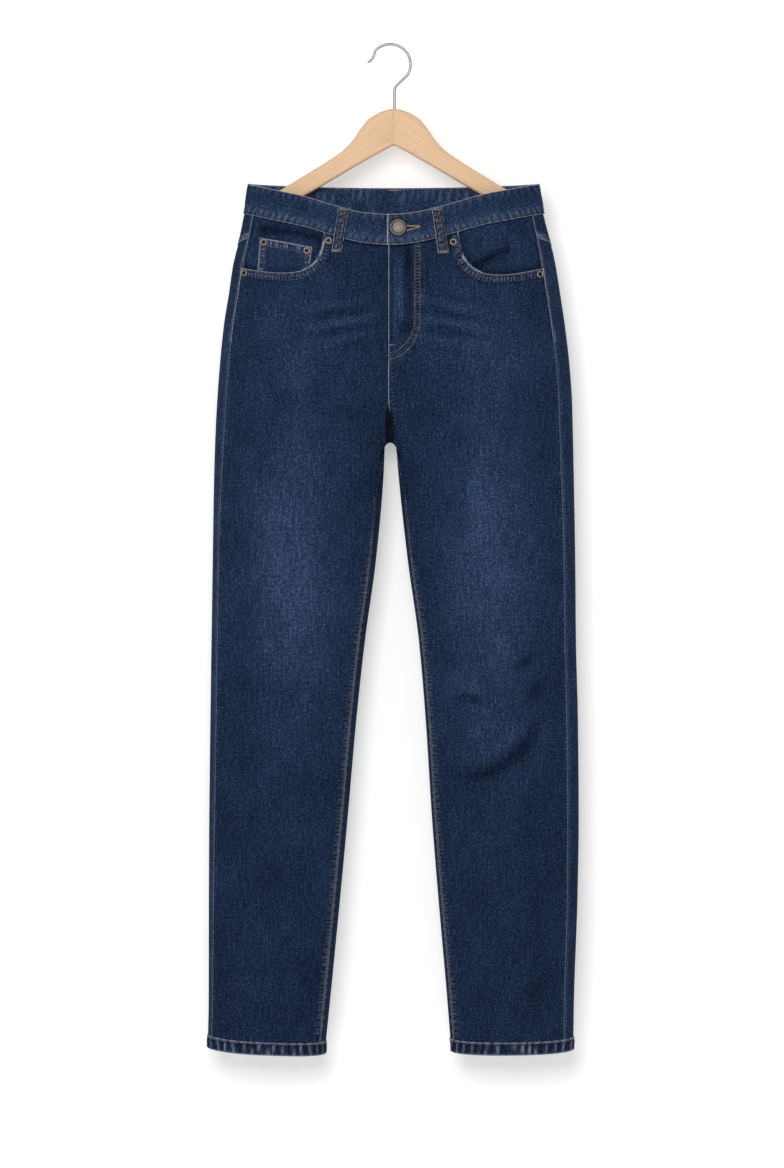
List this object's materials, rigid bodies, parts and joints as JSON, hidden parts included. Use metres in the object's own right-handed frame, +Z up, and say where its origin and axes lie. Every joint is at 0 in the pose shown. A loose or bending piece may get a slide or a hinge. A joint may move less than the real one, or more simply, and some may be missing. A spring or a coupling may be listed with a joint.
{
  "type": "girlfriend jeans on a wooden hanger",
  "caption": "Straight, slim denim jeans in dark indigo with a zip fly and belt loops, hanging flat from a wooden hanger inside the waistband, whose wire hook goes over a rail.",
  "frame": {"origin": "the seat of the rail: the inner top of the hanger's wire hook", "axes": "+Z up, the front of the jeans faces -Y, +X towards the wearer's left side"},
  "size_m": [0.4275, 0.0869, 1.1641],
  "materials": {
    "denim": "indigo warp-faced twill, washed, lighter along the thighs and on worn edges",
    "zip_tape": "woven tape with metal teeth",
    "antique_silver": "antique silver plate, dark in the recesses",
    "antique_brass": "antique brass, worn bright at the rim",
    "beech": "pale beech under clear lacquer",
    "chrome": "bright chrome wire"
  },
  "bodies": {
    "root": {"front_right": "denim", "front_left": "denim", "back_right": "denim", "back_left": "denim", "yoke_right": "denim", "yoke_left": "denim", "waistband_front_right": "denim", "waistband_front_left": "denim", "waistband_back": "denim", "hem_right": "denim", "hem_left": "denim", "pocket_facing_right": "denim", "pocket_facing_left": "denim", "coin_pocket": "denim", "fly_facing": "denim", "fly_shield": "denim", "back_pocket_right": "denim", "back_pocket_left": "denim", "belt_loop_front_right": "denim", "belt_loop_front_left": "denim", "belt_loop_back_right": "denim", "belt_loop_back_left": "denim", "belt_loop_centre": "denim", "zip": "zip_tape", "button": "antique_silver", "rivet_coin_outer": "antique_brass", "rivet_coin_inner": "antique_brass", "rivet_right_waist": "antique_brass", "rivet_right_side": "antique_brass", "rivet_left_waist": "antique_brass", "rivet_left_side": "antique_brass", "hanger_arm_right": "beech", "hanger_arm_left": "beech", "hanger_hook": "chrome"}
  },
  "joints": []
}
